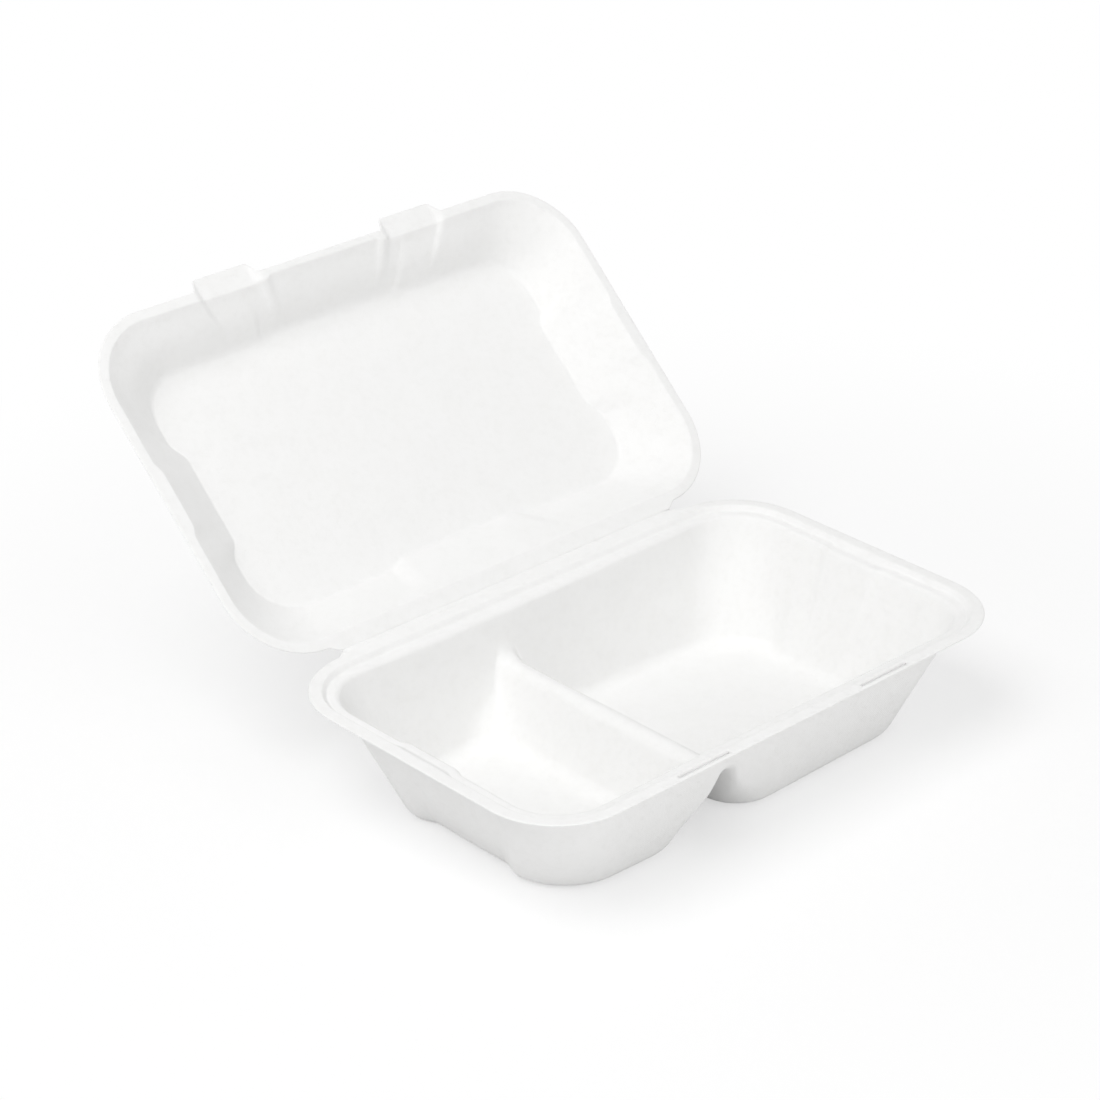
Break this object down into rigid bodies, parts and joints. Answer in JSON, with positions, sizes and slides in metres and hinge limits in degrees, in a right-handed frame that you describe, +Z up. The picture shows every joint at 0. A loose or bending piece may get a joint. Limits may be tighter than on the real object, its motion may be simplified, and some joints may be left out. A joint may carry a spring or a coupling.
{
  "type": "clamshell food box",
  "caption": "Moulded pulp clamshell food box with a divided tray, a hollow divider, a folding lid with lock tabs and a rounded flange",
  "frame": {"origin": "on the table plane under the middle of the tray, on the large compartment's foot", "axes": "X along the hinge with the small compartment on -X, +Y to the hinge and lid, +Z up"},
  "size_m": [0.232, 0.2558, 0.147],
  "materials": {
    "pulp": "matte pressed plant fibre, off-white"
  },
  "bodies": {
    "tray": {"base_tray": "pulp"},
    "cover": {"lid": "pulp"}
  },
  "joints": [
    {"name": "lid_hinge", "type": "hinge", "parent": "tray", "child": "cover", "pos_m": [0, 0.0736, 0.04615], "axis": [1, 0, 0], "range_deg": [-43, 137]}
  ]
}
